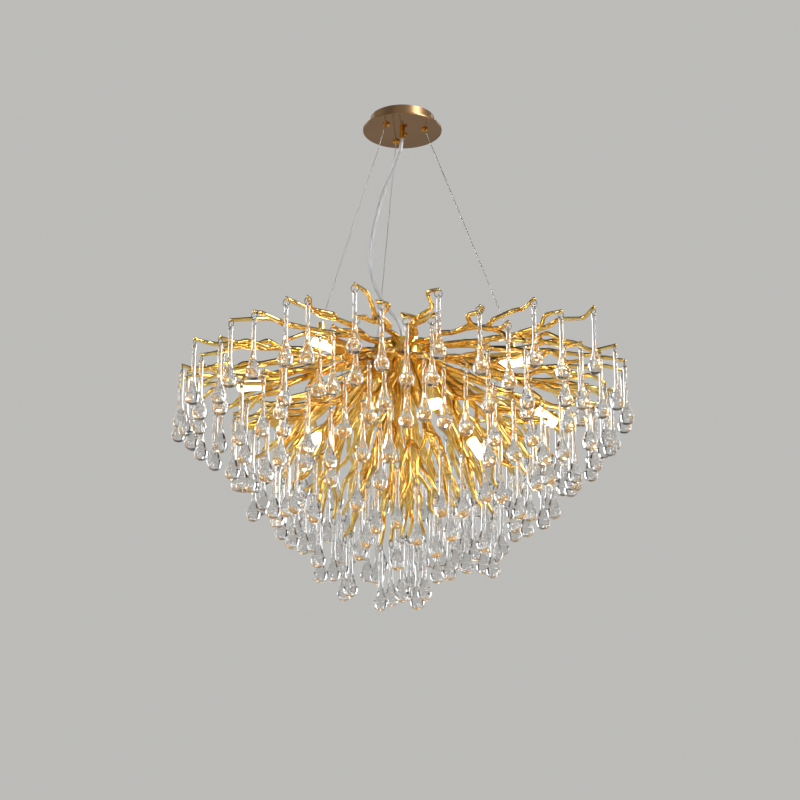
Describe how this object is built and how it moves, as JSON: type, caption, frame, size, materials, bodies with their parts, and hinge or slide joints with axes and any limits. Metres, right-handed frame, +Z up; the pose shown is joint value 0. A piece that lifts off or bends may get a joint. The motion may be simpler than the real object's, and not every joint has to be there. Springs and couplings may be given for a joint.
{
  "type": "chandelier",
  "caption": "Round branch chandelier on three wires: gold twigs from a central hub carry rings with clear glass drops and capsule lamps.",
  "frame": {"origin": "centre of the mounting bracket's top face, on the ceiling plane", "axes": "+Z up to the ceiling, the fixture hangs below; -Y is the front that the picture shows"},
  "size_m": [0.809, 0.8162, 0.9324],
  "materials": {
    "gold_branch": "polished gold plate",
    "bronze_canopy": "brushed champagne gold",
    "brass_fitting": "turned brass",
    "steel_wire": "stranded steel",
    "steel_bracket": "zinc plated",
    "clear_cord": "clear sheath over tinned cores",
    "clear_glass": "clear solid glass",
    "ceramic_socket": "white steatite",
    "lit_capsule": "frosted, lit",
    "terminal_plastic": "moulded nylon"
  },
  "bodies": {
    "fixture": {"branches_heart": "gold_branch", "branches_lower": "gold_branch", "branches_middle": "gold_branch", "branches_rim_back": "gold_branch", "branches_rim_front": "gold_branch", "branches_shoulder": "gold_branch", "branches_upper": "gold_branch", "canopy_cover": "bronze_canopy", "canopy_screws": "steel_bracket", "cord_bush": "brass_fitting", "cord_gland": "brass_fitting", "drops_inside": "clear_glass", "drops_rim": "clear_glass", "drops_shoulder": "clear_glass", "gland_nut": "brass_fitting", "gland_screw": "brass_fitting", "gripper_seats": "brass_fitting", "hub_drum": "gold_branch", "hub_floor_plate": "gold_branch", "hub_posts": "steel_bracket", "hub_screws": "steel_bracket", "hub_top_plate": "gold_branch", "lamp_arms": "gold_branch", "lamp_cups": "gold_branch", "lamp_sockets": "ceramic_socket", "mounting_bracket": "steel_bracket", "power_cord": "clear_cord", "rings_inside": "steel_wire", "rings_rim": "steel_wire", "rings_shoulder": "steel_wire", "suspension_arms": "gold_branch", "suspension_wires": "steel_wire", "terminal_block": "terminal_plastic", "terminal_screws": "steel_bracket", "wire_ferrules": "gold_branch", "wire_grippers": "brass_fitting"},
    "plunger_1": {"gripper_plunger_1": "brass_fitting"},
    "plunger_2": {"gripper_plunger_2": "brass_fitting"},
    "plunger_3": {"gripper_plunger_3": "brass_fitting"},
    "lamp_1_body": {"lamp_1": "lit_capsule"},
    "lamp_2_body": {"lamp_2": "lit_capsule"},
    "lamp_3_body": {"lamp_3": "lit_capsule"},
    "lamp_4_body": {"lamp_4": "lit_capsule"},
    "lamp_5_body": {"lamp_5": "lit_capsule"},
    "lamp_6_body": {"lamp_6": "lit_capsule"},
    "lamp_7_body": {"lamp_7": "lit_capsule"},
    "lamp_8_body": {"lamp_8": "lit_capsule"},
    "lamp_9_body": {"lamp_9": "lit_capsule"},
    "drop_01": {"swing_drop_01": "clear_glass"},
    "drop_02": {"swing_drop_02": "clear_glass"},
    "drop_03": {"swing_drop_03": "clear_glass"},
    "drop_04": {"swing_drop_04": "clear_glass"},
    "drop_05": {"swing_drop_05": "clear_glass"},
    "drop_06": {"swing_drop_06": "clear_glass"},
    "drop_07": {"swing_drop_07": "clear_glass"},
    "drop_08": {"swing_drop_08": "clear_glass"},
    "drop_09": {"swing_drop_09": "clear_glass"},
    "drop_10": {"swing_drop_10": "clear_glass"},
    "drop_11": {"swing_drop_11": "clear_glass"},
    "drop_12": {"swing_drop_12": "clear_glass"}
  },
  "joints": [
    {"name": "plunger_1_press", "type": "slide", "parent": "fixture", "child": "plunger_1", "axis": [-0.3319, 0.0828, 0.9397], "range_m": [0, 0.002], "stiffness_N_per_m": 150, "springref_m": -0.002},
    {"name": "plunger_2_press", "type": "slide", "parent": "fixture", "child": "plunger_2", "axis": [0.0943, -0.3288, 0.9397], "range_m": [0, 0.002], "stiffness_N_per_m": 150, "springref_m": -0.002},
    {"name": "plunger_3_press", "type": "slide", "parent": "fixture", "child": "plunger_3", "axis": [0.2376, 0.2461, 0.9397], "range_m": [0, 0.002], "stiffness_N_per_m": 150, "springref_m": -0.002},
    {"name": "lamp_1_pull", "type": "slide", "parent": "fixture", "child": "lamp_1_body", "axis": [0.9703, -0.2419, 0], "range_m": [0, 0.018]},
    {"name": "lamp_2_pull", "type": "slide", "parent": "fixture", "child": "lamp_2_body", "axis": [-0.2756, 0.9613, 0], "range_m": [0, 0.018]},
    {"name": "lamp_3_pull", "type": "slide", "parent": "fixture", "child": "lamp_3_body", "axis": [-0.6947, -0.7193, 0], "range_m": [0, 0.018]},
    {"name": "lamp_4_pull", "type": "slide", "parent": "fixture", "child": "lamp_4_body", "axis": [-0.9848, -0.1384, -0.1045], "range_m": [0, 0.018]},
    {"name": "lamp_5_pull", "type": "slide", "parent": "fixture", "child": "lamp_5_body", "axis": [-0.5668, -0.5474, -0.6157], "range_m": [0, 0.018]},
    {"name": "lamp_6_pull", "type": "slide", "parent": "fixture", "child": "lamp_6_body", "axis": [0.2347, -0.9415, -0.2419], "range_m": [0, 0.018]},
    {"name": "lamp_7_pull", "type": "slide", "parent": "fixture", "child": "lamp_7_body", "axis": [0.4581, -0.3452, -0.8192], "range_m": [0, 0.018]},
    {"name": "lamp_8_pull", "type": "slide", "parent": "fixture", "child": "lamp_8_body", "axis": [0.7646, -0.1906, -0.6157], "range_m": [0, 0.018]},
    {"name": "lamp_9_pull", "type": "slide", "parent": "fixture", "child": "lamp_9_body", "axis": [-0.1727, 0.8486, -0.5], "range_m": [0, 0.018]},
    {"name": "drop_01_swing", "type": "hinge", "parent": "fixture", "child": "drop_01", "pos_m": [-0.38659, -0.04021, -0.51174], "axis": [-0.1035, 0.9946, 0], "range_deg": [-10, 20]},
    {"name": "drop_02_swing", "type": "hinge", "parent": "fixture", "child": "drop_02", "pos_m": [-0.34965, -0.18591, -0.51504], "axis": [-0.4695, 0.8829, 0], "range_deg": [-10, 20]},
    {"name": "drop_03_swing", "type": "hinge", "parent": "fixture", "child": "drop_03", "pos_m": [-0.28001, -0.28001, -0.51616], "axis": [-0.7071, 0.7071, 0], "range_deg": [-10, 20]},
    {"name": "drop_04_swing", "type": "hinge", "parent": "fixture", "child": "drop_04", "pos_m": [-0.24011, -0.30732, -0.51227], "axis": [-0.788, 0.6157, 0], "range_deg": [-10, 20]},
    {"name": "drop_05_swing", "type": "hinge", "parent": "fixture", "child": "drop_05", "pos_m": [-0.18587, -0.34763, -0.50467], "axis": [-0.8819, 0.4715, 0], "range_deg": [-10, 20]},
    {"name": "drop_06_swing", "type": "hinge", "parent": "fixture", "child": "drop_06", "pos_m": [-0.07556, -0.38872, -0.49668], "axis": [-0.9816, 0.1908, 0], "range_deg": [-10, 20]},
    {"name": "drop_07_swing", "type": "hinge", "parent": "fixture", "child": "drop_07", "pos_m": [0.05613, -0.3946, -0.50818], "axis": [-0.99, -0.1408, 0], "range_deg": [-10, 20]},
    {"name": "drop_08_swing", "type": "hinge", "parent": "fixture", "child": "drop_08", "pos_m": [0.21012, -0.33662, -0.50166], "axis": [-0.8483, -0.5295, 0], "range_deg": [-10, 20]},
    {"name": "drop_09_swing", "type": "hinge", "parent": "fixture", "child": "drop_09", "pos_m": [0.31466, -0.25534, -0.485], "axis": [-0.6301, -0.7765, 0], "range_deg": [-10, 20]},
    {"name": "drop_10_swing", "type": "hinge", "parent": "fixture", "child": "drop_10", "pos_m": [0.25689, -0.29741, -0.50761], "axis": [-0.7568, -0.6537, 0], "range_deg": [-10, 20]},
    {"name": "drop_11_swing", "type": "hinge", "parent": "fixture", "child": "drop_11", "pos_m": [0.36223, -0.13905, -0.50991], "axis": [-0.3584, -0.9336, 0], "range_deg": [-10, 20]},
    {"name": "drop_12_swing", "type": "hinge", "parent": "fixture", "child": "drop_12", "pos_m": [0.38705, -0.02707, -0.51636], "axis": [-0.0698, -0.9976, 0], "range_deg": [-10, 20]}
  ]
}
